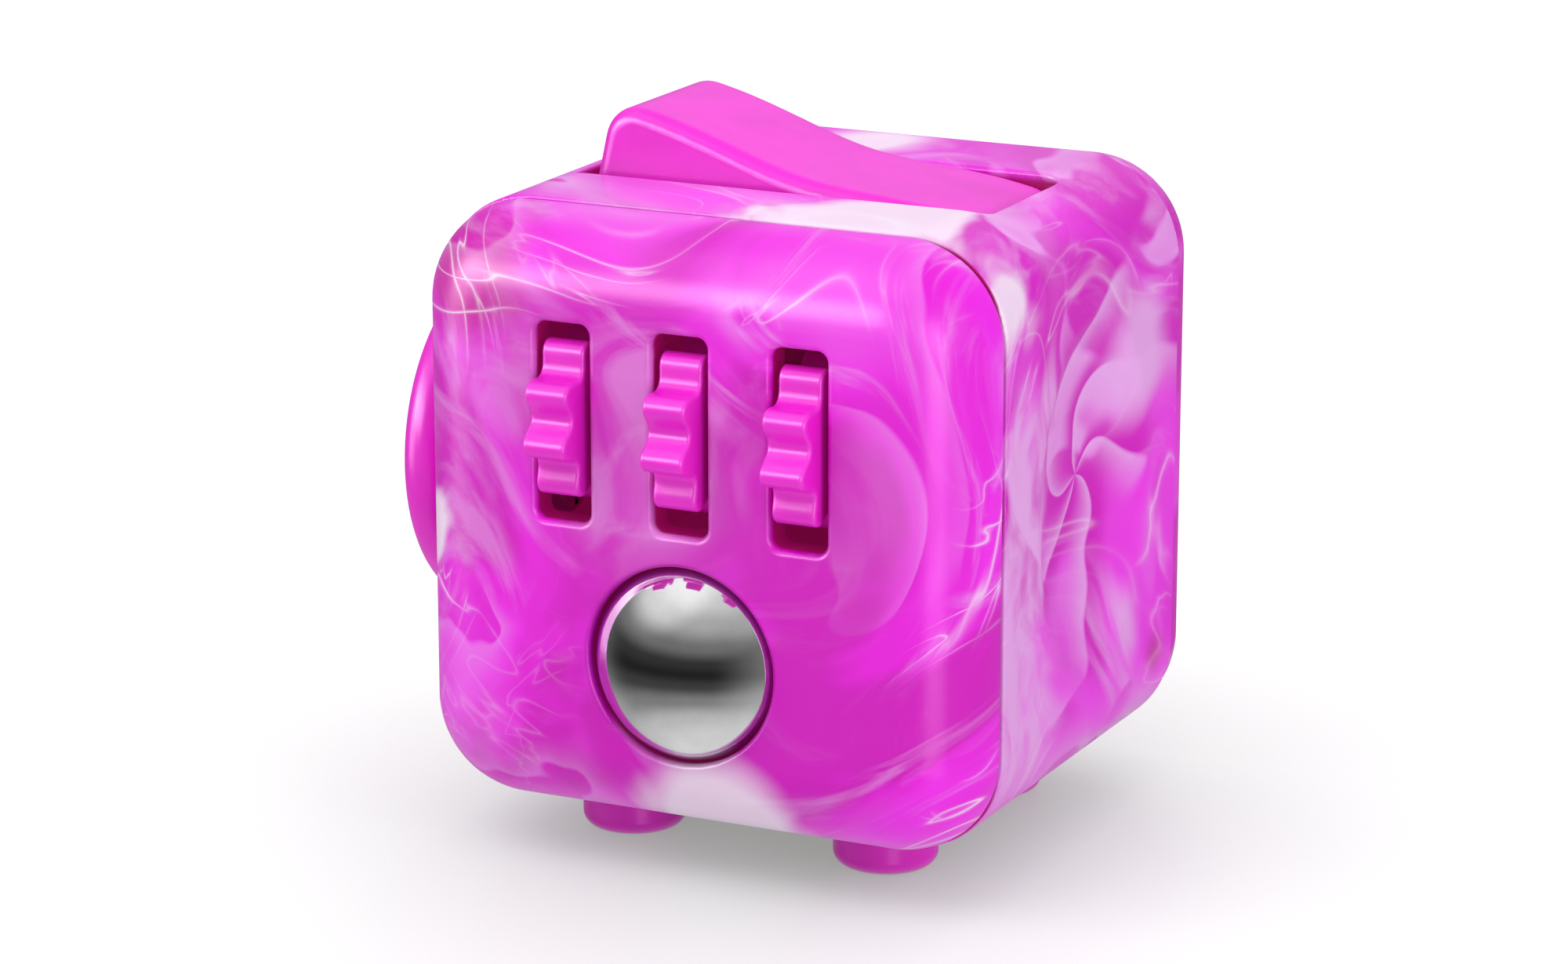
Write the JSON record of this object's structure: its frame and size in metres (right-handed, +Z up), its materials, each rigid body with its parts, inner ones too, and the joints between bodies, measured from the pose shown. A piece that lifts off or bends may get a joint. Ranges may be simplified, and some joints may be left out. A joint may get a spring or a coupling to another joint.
{
  "type": "fidget cube",
  "caption": "Hand-held rounded plastic cube with a different toy on each face: thumb wheels and a steel ball, dial, rocker switch, push buttons, tilting disc, thumb hollow.",
  "frame": {"origin": "middle of the flat end of the centre push button, on the plane on which the cube stands", "axes": "+Z up through the rocker switch's face; +X out of the face with the thumb hollow; -Y out of the face with the thumb wheels and the ball"},
  "size_m": [0.0373, 0.0358, 0.0394],
  "materials": {
    "sleeve_plastic": "satin marbled",
    "front_cover_plastic": "satin marbled",
    "back_cover_plastic": "satin marbled",
    "pink_plastic": "satin moulded",
    "polished_steel": "polished",
    "plated_steel": "zinc plated",
    "spring_steel": "bright wire",
    "inner_plastic": "moulded",
    "slippery_plastic": "natural acetal",
    "silicone": "translucent"
  },
  "bodies": {
    "casing": {"back_cover": "back_cover_plastic", "back_cover_screws": "plated_steel", "ball_click_dome": "spring_steel", "ball_socket": "inner_plastic", "ball_socket_screws": "plated_steel", "ball_spring": "spring_steel", "button_board": "inner_plastic", "button_board_screws": "plated_steel", "button_spring_back_left": "spring_steel", "button_spring_back_right": "spring_steel", "button_spring_centre": "spring_steel", "button_spring_front_left": "spring_steel", "button_spring_front_right": "spring_steel", "click_dome_back_right": "spring_steel", "click_dome_centre": "spring_steel", "click_dome_front_left": "spring_steel", "core_frame": "inner_plastic", "core_frame_screws": "plated_steel", "front_cover": "front_cover_plastic", "front_cover_screws": "plated_steel", "gear_axle": "plated_steel", "gear_bracket": "inner_plastic", "gear_bracket_screws": "plated_steel", "gear_click_spring_left": "spring_steel", "gear_click_spring_middle": "spring_steel", "gear_click_spring_right": "spring_steel", "joystick_housing": "inner_plastic", "joystick_housing_screws": "plated_steel", "joystick_spring": "spring_steel", "middle_housing": "sleeve_plastic", "rocker_cam": "slippery_plastic", "rocker_pin": "plated_steel", "silent_pad_back_left": "silicone", "silent_pad_front_right": "silicone", "spinner_bushing": "slippery_plastic"},
    "gear_left": {"gear_left": "pink_plastic"},
    "gear_middle": {"gear_middle": "pink_plastic"},
    "gear_right": {"gear_right": "pink_plastic"},
    "ball_cup": {"ball_plunger": "slippery_plastic"},
    "ball_turntable": {"ball_seat": "slippery_plastic"},
    "rolling_ball": {"ball": "polished_steel"},
    "rocker": {"rocker_cap": "pink_plastic", "rocker_plunger": "slippery_plastic", "rocker_spring": "spring_steel"},
    "gimbal": {"gimbal_ring": "slippery_plastic", "gimbal_pins": "plated_steel"},
    "joystick": {"joystick_disc": "pink_plastic", "joystick_stem": "pink_plastic", "joystick_pin": "plated_steel", "joystick_collar": "slippery_plastic", "joystick_screw": "plated_steel"},
    "spinner": {"spinner_disc": "pink_plastic", "spinner_washer": "plated_steel", "spinner_screw": "plated_steel"},
    "button_front_left": {"button_front_left": "pink_plastic"},
    "button_front_right": {"button_front_right": "pink_plastic"},
    "button_centre": {"button_centre": "pink_plastic"},
    "button_back_left": {"button_back_left": "pink_plastic"},
    "button_back_right": {"button_back_right": "pink_plastic"}
  },
  "joints": [
    {"name": "gear_left_turn", "type": "hinge", "parent": "casing", "child": "gear_left", "pos_m": [-0.00685, -0.014, 0.0249], "axis": [1, 0, 0], "continuous": true},
    {"name": "gear_middle_turn", "type": "hinge", "parent": "casing", "child": "gear_middle", "pos_m": [0, -0.014, 0.0249], "axis": [1, 0, 0], "continuous": true},
    {"name": "gear_right_turn", "type": "hinge", "parent": "casing", "child": "gear_right", "pos_m": [0.00685, -0.014, 0.0249], "axis": [1, 0, 0], "continuous": true},
    {"name": "ball_press", "type": "slide", "parent": "casing", "child": "ball_cup", "axis": [0, 1, 0], "range_m": [0, 0.0006], "stiffness_N_per_m": 900, "springref_m": -0.001},
    {"name": "ball_swivel", "type": "hinge", "parent": "ball_cup", "child": "ball_turntable", "pos_m": [0, -0.0131, 0.0125], "axis": [0, 1, 0], "continuous": true},
    {"name": "ball_roll", "type": "hinge", "parent": "ball_turntable", "child": "rolling_ball", "pos_m": [0, -0.0131, 0.0125], "axis": [1, 0, 0], "continuous": true},
    {"name": "rocker_tilt", "type": "hinge", "parent": "casing", "child": "rocker", "pos_m": [0, 0, 0.0308], "axis": [0, 1, 0], "range_deg": [-25, 0]},
    {"name": "joystick_tilt_up_down", "type": "hinge", "parent": "casing", "child": "gimbal", "pos_m": [-0.012, 0, 0.0193], "axis": [0, 1, 0], "range_deg": [-7.5, 7.5], "stiffness_Nm_per_rad": 0.03},
    {"name": "joystick_tilt_sideways", "type": "hinge", "parent": "gimbal", "child": "joystick", "pos_m": [-0.012, 0, 0.0193], "axis": [0, 0, 1], "range_deg": [-7.5, 7.5], "stiffness_Nm_per_rad": 0.03},
    {"name": "spinner_turn", "type": "hinge", "parent": "casing", "child": "spinner", "pos_m": [0, 0.01445, 0.0193], "axis": [0, 1, 0], "continuous": true},
    {"name": "button_front_left_press", "type": "slide", "parent": "casing", "child": "button_front_left", "axis": [0, 0, 1], "range_m": [0, 0.0012], "stiffness_N_per_m": 500, "springref_m": -0.001, "deforming": ["button_spring_front_left"]},
    {"name": "button_front_right_press", "type": "slide", "parent": "casing", "child": "button_front_right", "axis": [0, 0, 1], "range_m": [0, 0.0012], "stiffness_N_per_m": 500, "springref_m": -0.001, "deforming": ["button_spring_front_right"]},
    {"name": "button_centre_press", "type": "slide", "parent": "casing", "child": "button_centre", "axis": [0, 0, 1], "range_m": [0, 0.0012], "stiffness_N_per_m": 500, "springref_m": -0.001, "deforming": ["button_spring_centre"]},
    {"name": "button_back_left_press", "type": "slide", "parent": "casing", "child": "button_back_left", "axis": [0, 0, 1], "range_m": [0, 0.0012], "stiffness_N_per_m": 500, "springref_m": -0.001, "deforming": ["button_spring_back_left"]},
    {"name": "button_back_right_press", "type": "slide", "parent": "casing", "child": "button_back_right", "axis": [0, 0, 1], "range_m": [0, 0.0012], "stiffness_N_per_m": 500, "springref_m": -0.001, "deforming": ["button_spring_back_right"]}
  ]
}
